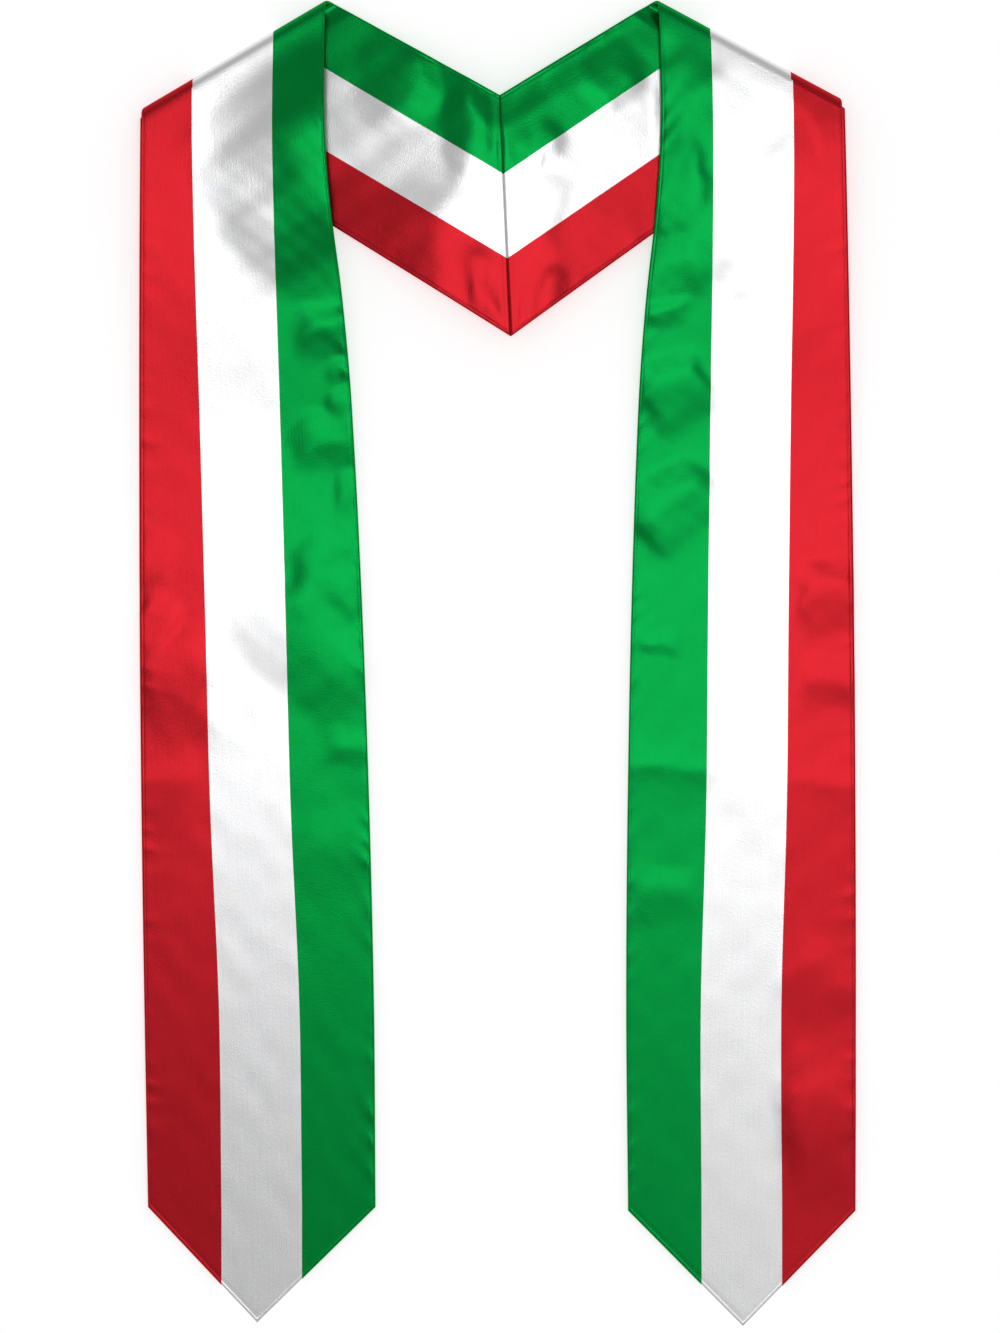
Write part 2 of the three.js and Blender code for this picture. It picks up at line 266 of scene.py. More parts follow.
# Satin: width and length of its drawn streaks, size of its patches and of its crinkle, in metres,
# and how much the streaks and the patches change its colour.
STREAK = (0.0012, 0.045)
PATCH = 0.03
CRINKLE = 0.001
STREAK_SHADE = 0.1
PATCH_SHADE = 0.08
# Depth of its weave in metres, how much of it is drawn, and the streaks' share against the crinkle
WEAVE_DEPTH = 0.0002
WEAVE_DRAWN = 0.32
STREAK_SHARE = 0.5
# How much of the light its floats mirror in the colour of the cloth, how wide that sheen is, how
# far it stretches across the floats, and the gloss of their bare surface
MIRRORED = {"green": 0.78, "white": 0.65, "red": 0.7}
SHEEN_WIDTH = 0.2
SHEEN_STRETCH = 0.4
GLOSS = 0.15

# Soft boxes that shine straight down: place and size in metres, and turn about Z in degrees
SoftBox = namedtuple("SoftBox", "name place size turn")
MAIN_BOX = SoftBox("Main soft box", (0.12, 0.315, 3.5), (1.56, 1.05), -5)
FILL_BOX = SoftBox("Fill soft box", (0.60, -0.62, 3.5), (0.9, 0.7), 0)

# Heights of the view, from 0 when level to 1 when straight up, between which the walls of the room
# pass into its ceiling
WALL_TOP = (0.1, 0.6)

# The floor: its size and that of its mottle in metres, how much the mottle changes its colour, how
# rough its card is, and how far it is kept clear of the cloth that rests on it, in metres
FLOOR_SIZE = 6.0
MOTTLE_SIZE = 0.25
MOTTLE_SHADE = 0.02
CARD_ROUGHNESS = 0.9
FLOOR_DROP = 0.0004

# Where the camera looks and how far it sees, in metres, and the height of its sensor in millimetres
PICTURE_MIDDLE = (0.0014, -0.0017)
SIGHT_END = 50
SENSOR_HEIGHT = 24


def length(name, text, default, low=0.0001, high=3.0):
    """Property that holds a length in metres."""
    return bpy.props.FloatProperty(
        name=name, description=text, default=default, min=low, max=high, precision=4, unit="LENGTH"
    )


def number(name, text, default):
    """Property that holds a number without a unit."""
    return bpy.props.FloatProperty(name=name, description=text, default=default, min=0)


def color(name, text, hexa):
    """Property that holds a colour, from its sRGB hex value."""
    return bpy.props.FloatVectorProperty(
        name=name, description=text, default=linear(hexa), subtype="COLOR", min=0, max=1
    )


def linear(hexa):
    """Linear colour of an sRGB hex value."""
    srgb = np.array([int(hexa[i : i + 2], 16) for i in (1, 3, 5)]) / 255
    low = srgb / 12.92
    high = ((srgb + 0.055) / 1.055) ** 2.4
    return tuple(float(c) for c in np.where(srgb <= 0.04045, low, high))


class StoleCut(bpy.types.PropertyGroup):
    """Sizes that the two halves are cut and laid to."""

    front_length: length("Front length", "Shoulder peak straight down to the lower corners", 0.697)
    tip_depth: length("Tip depth", "Lower corners down to the point", 0.067)
    shoulder_width: length("Shoulder width", "Across the panel just below the fold", 0.106)
    end_width: length("End width", "Across the panel at its lower corners", 0.1315)
    white_width: length("White band", "Width of the face's white band", 0.0465)
    neck_spread: length("Neck spread", "Between the two shoulder peaks", 0.191)
    neck_drop: length("Neck drop", "Peaks down to the top of the centre-back seam", 0.055)
    seam_length: length("Seam length", "Centre-back seam, edge to edge", 0.1395)
    seam_lean: length("Seam lean", "How far the seam's foot lies to the right", 0.0064)


class StoleCloth(bpy.types.PropertyGroup):
    """Thickness, softness and finish of the cloth."""

    thickness: length("Cloth thickness", "Face or lining, each", 0.001)
    layer_gap: length("Layer gap", "Between the face and the lining", 0.0003)
    seam_gap: length("Seam gap", "Between the two halves of the lining at the seam", 0.0001)
    ride_gap: length("Ride gap", "Between the back of the neck and the panel above it", 0.0014)
    fold_radius: length("Fold radius", "Mid-thickness radius of the shoulder roll", 0.0040)
    fold_relax: length("Fold relax", "Distance over which the panel leaves the roll", 0.220)
    bridge: length("Bridge", "How far the panel stays up beyond the neck's edge", 0.010)
    settle: length("Settle", "Distance over which it then comes down", 0.130)
    fold_height: number("Fold height", "Height of the soft folds, against their table", 1.0)
    green: color("Green", "Dyed green satin", "#07903D")
    white: color("White", "White satin", "#F4F4F5")
    red: color("Red", "Dyed red satin", "#C0212A")


class StoleStage(bpy.types.PropertyGroup):
    """Floor, light and camera."""

    floor: color("Floor", "Plain pale floor", "#F7F7F7")
    frame_height: length("Frame height", "Height of the picture at the floor", 0.7705)
    camera_height: length("Camera height", "Camera above the floor", 4.0, high=20)
    glow: number("Floor glow", "Light that the floor gives off, as a light table does", 0.505)
    key_power: number("Main light", "Power of the main soft box, in watts", 10.1)
    fill_power: number("Fill light", "Power of the second soft box, in watts", 1.3)
    room: number("Ceiling", "Brightness of the room's ceiling", 0.515)
    walls: number("Walls", "Brightness of the room's walls at the floor", 0.9)


def mix(a, b, t):
    """Straight line from a at t = 0 to b at t = 1."""
    return a + (b - a) * t


def rise(x, start, end):
    """0 before start, 1 after end, and 6t^5 - 15t^4 + 10t^3 between them."""
    t = np.clip((x - start) / (end - start), 0, 1)
    return t * t * t * (t * (6 * t - 15) + 10)


def ramp(u, soft=0.15):
    """Straight ramp from 0 at u = 0 to 1 at u = 1, with parabolas over a soft share at each end."""
    u = np.clip(u, 0, 1)
    end = np.minimum(u, 1 - u)
    curved = end * end / (2 * soft * (1 - soft))
    straight = (end - soft / 2) / (1 - soft)
    rounded = np.where(end < soft, curved, straight)
    return np.where(u < 0.5, rounded, 1 - rounded)


def follow(rows, column, x):
    """Smooth cubic curve through one column of a table, against its column down."""
    at = np.array([row.down for row in rows])
    value = np.array([getattr(row, column) for row in rows])
    before = np.maximum(np.arange(len(at)) - 1, 0)
    after = np.minimum(np.arange(len(at)) + 1, len(at) - 1)
    slope = (value[after] - value[before]) / (at[after] - at[before])
    x = np.clip(x, at[0], at[-1])
    i = np.clip(np.searchsorted(at, x, side="right") - 1, 0, len(at) - 2)
    span = at[i + 1] - at[i]
    u = (x - at[i]) / span
    p, q, start, end = value[i], value[i + 1], slope[i] * span, slope[i + 1] * span
    return p + u * (start + u * (3 * (q - p) - 2 * start - end + u * (2 * (p - q) + start + end)))


def lay_out(cut, cloth, half, layer):
    """One half's named sizes, fold line and edges in plan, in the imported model's frame."""
    stack = 2 * cloth.thickness + cloth.layer_gap
    roll_reach = cloth.fold_radius + stack / 2
    quarter_roll = math.pi / 2 * cloth.fold_radius
    slope, sign = half.slope, half.sign
    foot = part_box("left_lining_red_band")[1].x
    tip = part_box("left_face_white_band")[0].y
    middle_x = foot - cut.seam_lean + PACKED_SEAM_GAP / 2
    origin = np.array([middle_x, tip + cut.front_length + cut.tip_depth])
    peak = origin + (sign * half.neck * cut.neck_spread, 0)
    seam_top = origin - (0, cut.neck_drop)
    seam_fall = math.sqrt(cut.seam_length**2 - cut.seam_lean**2)
    inner_top = peak[0] + sign * math.sin(slope) * (quarter_roll - roll_reach)
    return SimpleNamespace(
        **half._asdict(),
        cut=cut,
        cloth=cloth,
        origin=origin,
        peak=peak,
        along=np.array([sign * math.cos(slope), -math.sin(slope)]),
        inward=np.array([-sign * math.sin(slope), -math.cos(slope)]),
        shift=quarter_roll * math.tan(slope),
        seam_top=seam_top,
        seam_foot=seam_top + (cut.seam_lean, -seam_fall),
        outer_top=inner_top + sign * cut.shoulder_width,
        roll_reach=roll_reach,
        quarter_roll=quarter_roll,
        seam_gap=cloth.seam_gap if layer == "lining" else 0.0,
        lying=stack / 2,
        riding=stack / 2 + stack + cloth.ride_gap,
        roll_top=stack / 2 + 2 * cloth.fold_radius,
    )


def band_widths(cut, down):
    """Widths of the face's green band, white band and whole panel, a share of the way down."""
    shoulder = (cut.shoulder_width - cut.white_width) / 2
    end = (cut.end_width - cut.white_width) / 2
    green = mix(shoulder, end, follow(TAPER, "green", down))
    red = mix(shoulder, end, follow(TAPER, "red", down))
    return green, cut.white_width, green + cut.white_width + red


def from_fold(lay, along, inward):
    """Plan points at distances along the fold line and inwards from it."""
    return lay.peak + along[..., None] * lay.along + inward[..., None] * lay.inward


def panel_start(lay, across):
    """Distance along the fold where the roll hands each lengthwise line over to the panel."""
    x = lay.outer_top - lay.sign * (1 - across) * lay.cut.shoulder_width
    sideways = (x - lay.peak[0]) * lay.sign
    return (sideways + lay.roll_reach * math.sin(lay.slope)) / math.cos(lay.slope)


def neck_end(lay, across):
    """Distances along the fold of each lengthwise line at the crease and where its roll starts."""
    crease = panel_start(lay, across) - lay.shift
    seam = mix(lay.seam_top, lay.seam_foot, across[..., None]) - lay.peak
    share_left = lay.quarter_roll / (seam @ lay.inward - lay.roll_reach + lay.quarter_roll)
    return crease, mix(crease, seam @ lay.along, share_left)


def beyond_neck_edge(lay, plan):
    """Signed distance of plan points beyond the outer edge of the back of the neck."""
    one = np.ones(1)
    corner = from_fold(lay, neck_end(lay, one)[1], one * lay.roll_reach)[0]
    edge = (corner - lay.seam_foot) / np.linalg.norm(corner - lay.seam_foot)
    offset = plan - lay.seam_foot
    return lay.sign * (offset[..., 0] * edge[1] - offset[..., 1] * edge[0])


def winding(plan):
    """Plan points in millimetres, pushed a little aside in waves, so that the folds wind."""
    pushed = plan.copy()
    for wave in WINDINGS:
        turn = 2 * math.pi * (plan[..., 0] / wave.across + plan[..., 1] / wave.along + wave.phase)
        pushed += wave.push * np.stack([np.sin(turn), np.cos(turn)], axis=-1)
    return pushed


def fold_lift(lay, layer, plan):
    """Height of the soft folds.

    Each one falls from its crest as a ramp with rounded ends. It fades out in the same way along
    the crest, from a little before its ends to a little beyond them.
    """
    lift = np.zeros(plan.shape[:-1])
    offset = winding((plan - lay.origin) * 1000)
    for fold in FOLDS:
        if fold.layer != layer:
            continue
        crest = np.array([fold.end_x - fold.start_x, fold.end_y - fold.start_y])
        half = np.linalg.norm(crest) / 2
        crest = crest / (2 * half)
        from_middle = offset - ((fold.start_x + fold.end_x) / 2, (fold.start_y + fold.end_y) / 2)
        t = np.abs(from_middle @ crest) / half
        to_right = from_middle @ np.array([crest[1], -crest[0]])
        reach = np.where(to_right > 0, fold.shaded, fold.lit)
        u = np.minimum(np.abs(to_right) / reach, 1)
        fade = 1 - ramp((t - FADE_FROM) / FADE_OVER, END_SOFT)
        lift += fold.lift * (1 - ramp(u, FLANK_SOFT)) * fade
    return lift / 1000 * lay.cloth.fold_height


def neck_lift(lay, plan):
    """Height of the back of the neck: a broad bulge along the seam, and its folds."""
    slope = NECK_SLOPES[lay.side]
    offset = (plan - lay.origin) * 1000
    wound = mix(offset, winding(offset), NECK_WINDING)
    to_side = np.abs(wound[..., 0] - NECK_MIDDLE)
    start = mix(slope.low, slope.high, ramp((wound[..., 1] - NECK_LOW) / NECK_CHANGE, END_SOFT))
    bulge = 1 - ramp((to_side - start) / (slope.end - start))
    neck_edge = lay.seam_top[1] + np.abs(plan[..., 0] - lay.origin[0]) * math.tan(lay.slope)
    from_neck_edge = (neck_edge - plan[..., 1]) * 1000
    inside = ramp(from_neck_edge / NECK_EDGE_REACH, FLANK_SOFT)
    bulge = bulge * (1 - NECK_EDGE_FALL * (1 - inside))
    return NECK_BULGE / 1000 * bulge + fold_lift(lay, "lining", plan)


def stack_up(plan, height):
    """Points in space from plan points and their heights."""
    return np.concatenate([plan, np.broadcast_to(height, plan.shape[:-1])[..., None]], axis=-1)


def neck_points(lay, out, across):
    """Ruled from the seam (out = 0) to the start of the roll (out = 1), plus bulge and folds."""
    seam = mix(lay.seam_top, lay.seam_foot, across[..., None])
    seam = seam + (lay.sign * lay.seam_gap / 2, 0)
    end = from_fold(lay, neck_end(lay, across)[1], np.full(across.shape, lay.roll_reach))
    plan = mix(seam, end, out[..., None])
    lifted = 1 - rise(out, NECK_FLAT, 1.0)
    return stack_up(plan, lay.lying + neck_lift(lay, plan) * lifted)


def roll_points(lay, turned, across):
    """Half a turn about the fold's axis, with each lengthwise line slipping along the fold."""
    angle = (turned - 0.5) * math.pi
    crease, before = neck_end(lay, across)
    after = panel_start(lay, across)
    first, second = mix(before, crease, 2 * turned), mix(crease, after, 2 * turned - 1)
    along = np.where(turned < 0.5, first, second)
    plan = from_fold(lay, along, lay.roll_reach - lay.cloth.fold_radius * np.cos(angle))
    return stack_up(plan, lay.lying + lay.cloth.fold_radius * (1 + np.sin(angle)))


def panel_points(lay, run, across):
    """Straight down from the roll (run = 0) to the pointed end (run = 1), plus folds.

    The height comes down by ramps: from the top of the roll, and from the back of the neck to the
    floor beyond its edge.
    """
    cut, cloth = lay.cut, lay.cloth
    along = panel_start(lay, across)
    top = from_fold(lay, along, np.full(across.shape, lay.roll_reach))[..., 1]
    to_point = np.where(across < lay.point, across / lay.point, (1 - across) / (1 - lay.point))
    foot = lay.origin[1] - cut.front_length - cut.tip_depth * (to_point + lay.drop)
    y = mix(top, foot, run)
    inside = np.clip((lay.origin[1] - y) / cut.front_length, 0, 1)
    drift = cut.end_width * (lay.lean * inside + lay.bow * np.sin(math.pi * inside))
    x = lay.outer_top + lay.sign * (drift - (1 - across) * band_widths(cut, inside)[2])
    plan = np.stack([x, y], axis=-1)
    on_ground = ramp((beyond_neck_edge(lay, plan) - cloth.bridge) / cloth.settle, FLANK_SOFT)
    rest = mix(lay.riding, lay.lying, on_ground)
    from_roll = (plan - lay.peak) @ lay.inward - lay.roll_reach
    rest = mix(lay.roll_top, rest, ramp(from_roll / cloth.fold_relax, FLANK_SOFT))
    rest = rest + lay.crown * (1 - np.clip(1 - from_roll / lay.soft, 0, 1) ** 2)
    folds = fold_lift(lay, "face", plan) * ramp(from_roll / FOLD_START, FLANK_SOFT)
    return stack_up(plan, rest + folds)


def cloth_points(lay, station, across):
    """Mid-thickness points at stations: 0 to 1 neck, 1 to 2 roll and 2 to 3 front panel."""
    neck = neck_points(lay, np.clip(station, 0, 1), across)
    roll = roll_points(lay, np.clip(station - 1, 0, 1), across)
    panel = panel_points(lay, np.clip(station - 2, 0, 1), across)
    where = station[..., None]
    return np.where(where < 1, neck, np.where(where < 2, roll, panel))


def band_end(lay, layer, band, station):
    """Share of the width where a layer's green or white band ends."""

    def on_panel(down):
        """Where the band ends, as a share of the panel's width."""
        green, white, total = band_widths(lay.cut, down)
        return (green if band == "green" else green + white) / total

    def down_at(across):
        """The share of the way down at the station, 0 above the panel."""
        y = panel_points(lay, np.clip(station - 2, 0, 1), across)[..., 1]
        return np.where(station < 2, 0, (lay.origin[1] - y) / lay.cut.front_length)

    half_way = np.full(station.shape, 0.5)
    on_front = on_panel(down_at(on_panel(down_at(half_way))))
    at_seam, at_fold = getattr(NECK_AT_SEAM, band), getattr(NECK_AT_FOLD, band)
    out = np.clip(station, 0, 1)
    if layer == "lining":
        on_neck = mix(mix(at_seam, at_fold, out), on_panel(0.0), rise(out, NECK_SHOWN, 1))
    else:
        on_neck = mix(at_seam, on_panel(0.0), out)
    return np.where(station >= 1, on_front, on_neck)


def from_edge(fine, span, step):
    """Shares from 0 to 1 of a span: fine distances from its start, then even steps."""
    fine = np.array(fine)
    rest = np.linspace(fine[-1], span, max(2, int(math.ceil((span - fine[-1]) / step)) + 1))
    return np.concatenate([fine[:-1], rest]) / span


def row_stations(layer):
    """Stations of the crosswise rows, closer together at the seam, the roll and the tip."""
    neck = from_edge(EDGE_STEPS, NECK_LONG, NECK_STEP)
    roll = np.linspace(0, 1, ROLL_ROWS)
    panel = 1 - from_edge(EDGE_STEPS, PANEL_LONG, PANEL_STEPS[layer])[::-1]
    return np.concatenate([neck[:-1], 1 + roll[:-1], 2 + panel])


def column_shares(lay, layer, station):
    """Shares of the width of the lengthwise columns, and the first and last one of each band."""
    zero = np.zeros_like(station)
    green = band_end(lay, layer, "green", station)
    white = band_end(lay, layer, "white", station)
    edge = from_edge(EDGE_STEPS, BAND_WIDE, BAND_STEP)
    even = np.linspace(0, 1, WHITE_COLUMNS)
    parts = [
        mix(zero, green, edge),
        mix(green, zero + lay.point, even)[:, 1:],
        mix(zero + lay.point, white, even)[:, 1:],
        mix(white, zero + 1, 1 - edge[::-1])[:, 1:],
    ]
    ends = np.cumsum([part.shape[1] for part in parts]) - 1
    columns = {"green": (0, ends[0]), "white": (ends[0], ends[2]), "red": (ends[2], ends[3])}
    return np.concatenate(parts, axis=1), columns


def run_lengths(points, axis):
    """Distance along the grid's lines from their first point."""
    steps = np.linalg.norm(np.diff(points, axis=axis), axis=-1)
    return np.concatenate([np.zeros_like(steps.take([0], axis)), np.cumsum(steps, axis)], axis)


def puckers(along, away, pucker, sign):
    """Height of small ridges that run out from a sewn edge, uneven in spacing and strength."""
    turn, phase = 2 * math.pi, pucker.phase + sign

    def drift(by):
        """A sine along the edge."""
        return by.amount * np.sin(turn * along / (by.pitches * pucker.pitch) + by.phases * phase)

    beat = turn * (along + pucker.skew * away) / pucker.pitch + phase
    for by in SPACING_DRIFTS:
        beat = beat + drift(by)
    strength = 1 - STRENGTH_DRIFT.amount + drift(STRENGTH_DRIFT)
    reach = np.exp(-away / PUCKER_REACH) * (1 - np.exp(-away / PUCKER_RISE))
    return pucker.height * (strength * (0.5 + 0.5 * np.cos(beat)) ** 2 * reach)


def bead(shape, away):
    """Height of a rounded ridge or groove along an edge, a distance away from it."""
    return shape.height * np.exp(-(((away - shape.at) / shape.width) ** 2))


def relief(lay, layer, points, station, across, over, along):
    """Fine height of the side that shows: ripples, wrinkles, creases, puckers and seams.

    The face has it from inside the roll on, and the lining up to where the panels cover it.
    """
    turn = 2 * math.pi
    inner, outer = over, over[:, -1:] - over
    if layer == "face":
        shown = rise(station, *FACE_RELIEF_STARTS)
    else:
        shown = 1 - rise(station, *LINING_RELIEF_ENDS)
    height = np.zeros(over.shape)
    for ripple in RIPPLES:
        wave = over * 1000 / ripple.across + along * 1000 / ripple.along + ripple.phase
        height += ripple.height / 1000 * np.sin(turn * (wave + RIPPLE_SHIFT * lay.sign))
    plan = (points[..., :2] - lay.origin) * 1000
    wound = winding(plan)
    for wrinkle in WRINKLES:
        if wrinkle.layer != layer:
            continue
        angle = math.radians(wrinkle.turn)
        x, y = plan[..., 0] - wrinkle.x, plan[..., 1] - wrinkle.y
        lengthwise = y * math.cos(angle) - x * math.sin(angle)
        sideways = x * math.cos(angle) + y * math.sin(angle)
        ends = np.maximum(1 - (lengthwise / wrinkle.long) ** 2, 0) ** 2
        height += wrinkle.lift / 1000 * ends * np.exp(-((sideways / wrinkle.wide) ** 2))
    for crease in CREASES:
        if crease.side != lay.side or layer == "lining":
            continue
        y = -wound[..., 1] - crease.down * lay.cut.front_length * 1000
        away = np.sqrt(y * y + CREASE_ROUND**2) - CREASE_ROUND
        flank = np.exp(-away / np.where(y < 0, crease.above, crease.below))
        start = rise(across, crease.start, crease.start + CREASE_FADE)
        end = 1 - rise(across, crease.end, crease.end + CREASE_FADE)
        height += crease.lift / 1000 * flank * (start * end)
    height += puckers(along, inner, INNER_PUCKERS, lay.sign)
    height += puckers(along, outer, OUTER_PUCKERS, lay.sign)
    if layer == "lining":
        allowance = ALLOWANCE_HEIGHT * (1 - rise(along, *ALLOWANCE_ENDS))
        height += allowance + bead(SEAM_LIP, along)
    edge = np.minimum.reduce([inner, outer, (along[-1:] - along) * TIP_SLANT])
    return (height + bead(EDGE_GROOVE, edge)) * shown


def edge_round(away):
    """Quarter-round share of the thickness, a distance away from an edge."""
    left = 1 - np.minimum(away / EDGE_REACH, 1)
    return EDGE_SHARE + (1 - EDGE_SHARE) * np.sqrt(1 - left * left)


def layer_grids(lay, layer):
    """Both skins of one layer of one half, its flat coordinates and each band's columns."""
    cloth = lay.cloth
    station = row_stations(layer)[:, None]
    across, columns = column_shares(lay, layer, station)
    station = np.broadcast_to(station, across.shape)
    points = cloth_points(lay, station, across)
    crosswise, lengthwise = np.gradient(points, axis=1), np.gradient(points, axis=0)
    normal = -lay.sign * np.cross(crosswise, lengthwise)
    normal /= np.linalg.norm(normal, axis=-1, keepdims=True)
    over, along = run_lengths(points, 1), run_lengths(points, 0)
    to_end = (along[-1:] - along) * TIP_SLANT
    edges = np.minimum.reduce([over, over[:, -1:] - over, SEAM_TIGHT * along, to_end])
    shown = cloth.thickness * edge_round(edges)
    shown = shown + relief(lay, layer, points, station, across, over, along) * edge_round(edges)
    side = 1 if layer == "face" else -1
    gap = side * cloth.layer_gap / 2 * normal
    skins = (points + gap + side * shown[..., None] * normal, points + gap)
    outward = skins if layer == "face" else skins[::-1]
    return outward, np.stack([over, along], axis=-1), columns


def closed_shell(name, upper, lower, flat, sign):
    """Closed mesh of two matching grids joined along their rims, with a map of the flat cloth."""
    below = upper[..., 0].size
    at = np.arange(below).reshape(upper.shape[:2])
    a, b, c, d = at[:-1, :-1], at[:-1, 1:], at[1:, 1:], at[1:, :-1]
    top = np.stack([a, b, c, d], axis=-1).reshape(-1, 4)
    bottom = np.stack([a, d, c, b], axis=-1).reshape(-1, 4) + below
    rims = []
    for start, end in (
        (at[1:, 0], at[:-1, 0]),
        (at[:-1, -1], at[1:, -1]),
        (at[0, :-1], at[0, 1:]),
        (at[-1, 1:], at[-1, :-1]),
    ):
        rims.append(np.stack([end, start, start + below, end + below], axis=-1))
    faces = np.concatenate([top, bottom, *rims])
    if sign > 0:
        faces = faces[:, ::-1]
    points = np.concatenate([upper.reshape(-1, 3), lower.reshape(-1, 3)])
    mesh = bpy.data.meshes.new(name)
    mesh.vertices.add(len(points))
    mesh.vertices.foreach_set("co", points.ravel())
    mesh.loops.add(faces.size)
    mesh.loops.foreach_set("vertex_index", faces.ravel().astype(np.int32))
    mesh.polygons.add(len(faces))
    mesh.polygons.foreach_set("loop_start", np.arange(0, faces.size, 4, dtype=np.int32))
    mesh.update(calc_edges=True)
    mesh.validate()
    mesh.shade_smooth()
    mesh.set_sharp_from_angle(angle=SHARP_FROM)
    layout = mesh.uv_layers.new(name="Cloth")
    corners = np.empty(len(mesh.loops), dtype=np.int32)
    mesh.loops.foreach_get("vertex_index", corners)
    both = np.concatenate([flat.reshape(-1, 2)] * 2)
    layout.data.foreach_set("uv", both[corners].ravel())
    obj = bpy.data.objects.new(name, mesh)
    bpy.context.collection.objects.link(obj)
    return obj


def node(tree, kind, settings=None, inputs=None, links=None):
    """Adds a node with its settings, input values and links."""
    new = tree.nodes.new(kind)
    for key, value in (settings or {}).items():
        setattr(new, key, value)
    for key, value in (inputs or {}).items():
        new.inputs[key].default_value = value
    for key, source in (links or {}).items():
        tree.links.new(source, new.inputs[key])
    return new


def satin(name, base, mirrored):
    """Woven polyester satin, dyed or bleached.

    Long floats along the cloth give a broad sheen that stretches across them.
    """
    material = bpy.data.materials.new(name)
    material.use_nodes = True
    tree = material.node_tree
    tree.nodes.clear()
    cloth = node(tree, "ShaderNodeUVMap", {"uv_map": "Cloth"})
    # The floats are a tenth of a millimetre wide and some millimetres long. They are drawn as
    # streaks of 1.2 by 45 mm so that they show.
    threads = node(
        tree,
        "ShaderNodeMapping",
        inputs={"Scale": (1 / STREAK[0], 1 / STREAK[1], 1)},
        links={"Vector": cloth.outputs["UV"]},
    )
    streaks = node(
        tree,
        "ShaderNodeTexNoise",
        inputs={"Scale": 1.0, "Detail": 3.0, "Roughness": 0.6},
        links={"Vector": threads.outputs["Vector"]},
    )
    # Uneven dye and finish, in soft patches
    patches = node(
        tree,
        "ShaderNodeTexNoise",
        inputs={"Scale": 1 / PATCH, "Detail": 2.0},
        links={"Vector": cloth.outputs["UV"]},
    )
    shade = node(
        tree,
        "ShaderNodeMath",
        {"operation": "MULTIPLY_ADD"},
        inputs={1: STREAK_SHADE, 2: 1 - STREAK_SHADE / 2},
        links={0: streaks.outputs["Fac"]},
    )
    tint = node(
        tree,
        "ShaderNodeMath",
        {"operation": "MULTIPLY_ADD"},
        inputs={1: PATCH_SHADE, 2: 1 - PATCH_SHADE / 2},
        links={0: patches.outputs["Fac"]},
    )
    both = node(
        tree,
        "ShaderNodeMath",
        {"operation": "MULTIPLY"},
        links={0: shade.outputs[0], 1: tint.outputs[0]},
    )
    colored = node(
        tree,
        "ShaderNodeVectorMath",
        {"operation": "SCALE"},
        inputs={0: tuple(base)},
        links={"Scale": both.outputs[0]},
    )
    # Fine crinkle of the floats, a few tenths of a millimetre wide and drawn at 1 mm
    grain = node(
        tree,
        "ShaderNodeTexNoise",
        inputs={"Scale": 1 / CRINKLE, "Detail": 2.0, "Roughness": 0.6},
        links={"Vector": cloth.outputs["UV"]},
    )
    height = node(
        tree,
        "ShaderNodeMath",
        {"operation": "MULTIPLY_ADD"},
        inputs={1: STREAK_SHARE},
        links={0: streaks.outputs["Fac"], 2: grain.outputs["Fac"]},
    )
    weave = node(
        tree,
        "ShaderNodeBump",
        inputs={"Strength": WEAVE_DRAWN, "Distance": WEAVE_DEPTH},
        links={"Height": height.outputs[0]},
    )
    warp = node(tree, "ShaderNodeTangent", {"direction_type": "UV_MAP", "uv_map": "Cloth"})
    shader = node(
        tree,
        "ShaderNodeBsdfPrincipled",
        inputs={
            "Metallic": mirrored,
            "Roughness": SHEEN_WIDTH,
            "Anisotropic": SHEEN_STRETCH,
            "Specular IOR Level": GLOSS,
            "Specular Tint": (*(c**0.5 for c in base), 1),
        },
        links={
            "Base Color": colored.outputs[0],
            "Normal": weave.outputs["Normal"],
            "Tangent": warp.outputs["Tangent"],
        },
    )
    node(tree, "ShaderNodeOutputMaterial", links={"Surface": shader.outputs["BSDF"]})
    material.diffuse_color = (*base, 1)
    return material


def satin_of(cloth, band):
    """The band's satin, made once."""
    name = f"{band.capitalize()} satin"
    if name in bpy.data.materials:
        return bpy.data.materials[name]
    return satin(name, getattr(cloth, band), MIRRORED[band])


def add_bands(context, layer):
    """Adds one layer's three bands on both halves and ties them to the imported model."""
    cut, cloth = context.scene.stole_cut, context.scene.stole_cloth
    for half in HALVES:
        lay = lay_out(cut, cloth, half, layer)
        (upper, lower), flat, columns = layer_grids(lay, layer)
        for band in BANDS:
            first, last = columns[band]
            part = np.s_[:, first : last + 1]
            cad_node = f"{lay.side}_{layer}_{band}_band"
            name = f"{lay.side}_{layer}_{band}_satin"
            sheet = flat[part]
            obj = closed_shell(name, upper[part], lower[part], sheet, lay.sign)
            obj.data.materials.append(satin_of(cloth, band))
            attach(obj, "root")
            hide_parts(cad_node)


class STOLE_OT_lining(bpy.types.Operator):
    """Adds the lining's green, white and red bands on both halves"""

    bl_idname = "stole.add_lining"
    bl_label = "Add lining bands"

    def execute(self, context):
        add_bands(context, "lining")
        return {"FINISHED"}


class STOLE_OT_face(bpy.types.Operator):
    """Adds the face's green, white and red bands on both halves"""

    bl_idname = "stole.add_face"
    bl_label = "Add face bands"

    def execute(self, context):
        add_bands(context, "face")
        return {"FINISHED"}


class STOLE_OT_stage(bpy.types.Operator):
    """Adds the pale floor, the soft light and the camera straight above"""

    bl_idname = "stole.add_stage"
    bl_label = "Add stage"

    def execute(self, context):
        scene, stage = context.scene, context.scene.stole_stage
        add_floor(stage)
        add_lights(stage)
        add_camera(scene, stage)
        return {"FINISHED"}


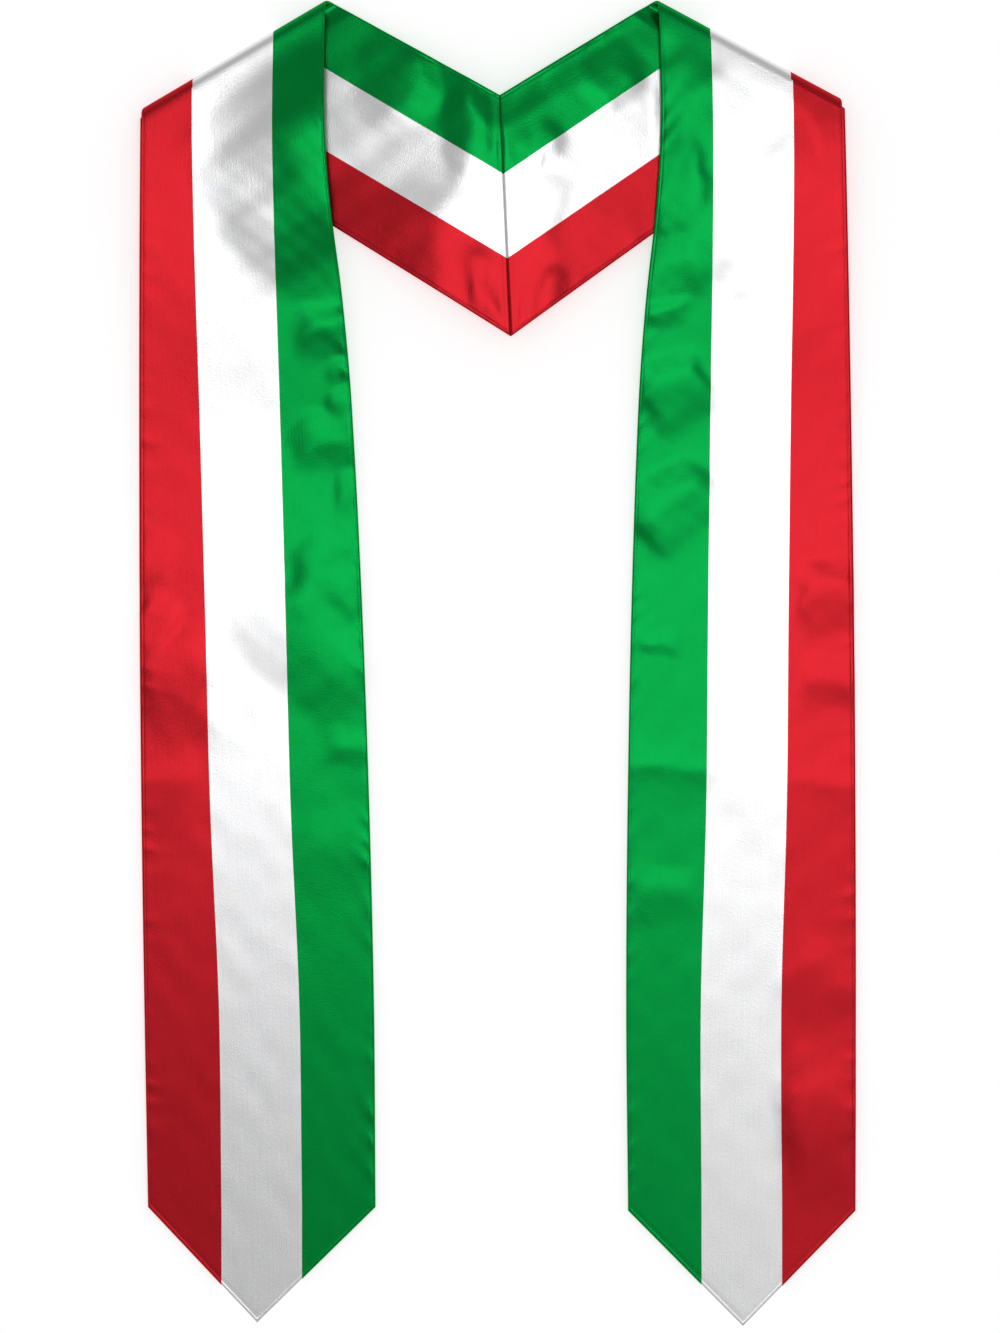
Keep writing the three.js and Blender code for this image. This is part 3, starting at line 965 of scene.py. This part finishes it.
def add_floor(stage):
    """A plain board of matt white card with a faint mottle, lit a little from below."""
    corners = np.array([(-1, -1), (1, -1), (1, 1), (-1, 1)]) * FLOOR_SIZE / 2
    mesh = bpy.data.meshes.new("Floor")
    mesh.from_pydata([(x, y, -FLOOR_DROP) for x, y in corners.tolist()], [], [(0, 1, 2, 3)])
    floor = bpy.data.objects.new("Floor", mesh)
    bpy.context.collection.objects.link(floor)
    material = bpy.data.materials.new("White card")
    material.use_nodes = True
    tree = material.node_tree
    tree.nodes.clear()
    place = node(tree, "ShaderNodeTexCoord")
    mottle = node(
        tree,
        "ShaderNodeTexNoise",
        inputs={"Scale": 1 / MOTTLE_SIZE, "Detail": 2.0},
        links={"Vector": place.outputs["Object"]},
    )
    fade = node(
        tree,
        "ShaderNodeMath",
        {"operation": "MULTIPLY_ADD"},
        inputs={1: MOTTLE_SHADE, 2: 1 - MOTTLE_SHADE / 2},
        links={0: mottle.outputs["Fac"]},
    )
    colored = node(
        tree,
        "ShaderNodeVectorMath",
        {"operation": "SCALE"},
        inputs={0: tuple(stage.floor)},
        links={"Scale": fade.outputs[0]},
    )
    shader = node(
        tree,
        "ShaderNodeBsdfPrincipled",
        inputs={
            "Roughness": CARD_ROUGHNESS,
            "Emission Color": (1, 1, 1, 1),
            "Emission Strength": stage.glow,
        },
        links={"Base Color": colored.outputs[0]},
    )
    node(tree, "ShaderNodeOutputMaterial", links={"Surface": shader.outputs["BSDF"]})
    mesh.materials.append(material)


def add_soft_box(soft_box, power):
    """A flat light that doesn't hide the stole from the camera."""
    data = bpy.data.lights.new(soft_box.name, "AREA")
    data.shape = "RECTANGLE"
    data.size, data.size_y = soft_box.size
    data.energy = power
    box = bpy.data.objects.new(soft_box.name, data)
    box.location = soft_box.place
    box.rotation_euler = (0, 0, math.radians(soft_box.turn))
    box.visible_camera = False
    bpy.context.collection.objects.link(box)


def add_lights(stage):
    """A big soft box over the neck, a weak one over the right panel's end, and a pale room.

    The room's walls are brighter than its ceiling, so that the satin shows from the side too.
    """
    add_soft_box(MAIN_BOX, stage.key_power)
    add_soft_box(FILL_BOX, stage.fill_power)
    world = bpy.data.worlds.new("Pale room")
    world.use_nodes = True
    tree = world.node_tree
    tree.nodes.clear()
    place = node(tree, "ShaderNodeTexCoord")
    height = node(tree, "ShaderNodeSeparateXYZ", links={"Vector": place.outputs["Generated"]})
    walls = node(
        tree,
        "ShaderNodeMapRange",
        inputs={
            "From Min": WALL_TOP[0],
            "From Max": WALL_TOP[1],
            "To Min": stage.walls,
            "To Max": stage.room,
        },
        links={"Value": height.outputs["Z"]},
    )
    back = node(tree, "ShaderNodeBackground", links={"Strength": walls.outputs["Result"]})
    node(tree, "ShaderNodeOutputWorld", links={"Surface": back.outputs["Background"]})
    bpy.context.scene.world = world


def add_camera(scene, stage):
    """A long lens straight above the middle of the stole."""
    data = bpy.data.cameras.new("Camera")
    data.sensor_fit = "VERTICAL"
    data.sensor_height = SENSOR_HEIGHT
    data.lens = data.sensor_height * stage.camera_height / stage.frame_height
    data.clip_end = SIGHT_END
    camera = bpy.data.objects.new("Camera", data)
    camera.location = (*PICTURE_MIDDLE, stage.camera_height)
    bpy.context.collection.objects.link(camera)
    scene.camera = camera
    scene.view_settings.view_transform = "Standard"


class STOLE_PT_panel(bpy.types.Panel):
    """The stole's pieces and sizes in the sidebar"""

    bl_label = "Graduation stole"
    bl_idname = "STOLE_PT_panel"
    bl_space_type = "VIEW_3D"
    bl_region_type = "UI"
    bl_category = "Stole"

    def draw(self, context):
        scene = context.scene
        for group in (scene.stole_cut, scene.stole_cloth, scene.stole_stage):
            for key in group.__annotations__:
                self.layout.prop(group, key)
        for operator in (STOLE_OT_lining, STOLE_OT_face, STOLE_OT_stage):
            self.layout.operator(operator.bl_idname)


CLASSES = (
    StoleCut,
    StoleCloth,
    StoleStage,
    STOLE_OT_lining,
    STOLE_OT_face,
    STOLE_OT_stage,
    STOLE_PT_panel,
)


def register():
    for cls in CLASSES:
        bpy.utils.register_class(cls)
    bpy.types.Scene.stole_cut = bpy.props.PointerProperty(type=StoleCut)
    bpy.types.Scene.stole_cloth = bpy.props.PointerProperty(type=StoleCloth)
    bpy.types.Scene.stole_stage = bpy.props.PointerProperty(type=StoleStage)


def unregister():
    del bpy.types.Scene.stole_stage
    del bpy.types.Scene.stole_cloth
    del bpy.types.Scene.stole_cut
    for cls in reversed(CLASSES):
        bpy.utils.unregister_class(cls)


def main():
    """Builds the lining, the face and the stage in order."""
    register()
    bpy.ops.stole.add_lining()
    bpy.ops.stole.add_face()
    bpy.ops.stole.add_stage()


if __name__ == "__main__":
    main()
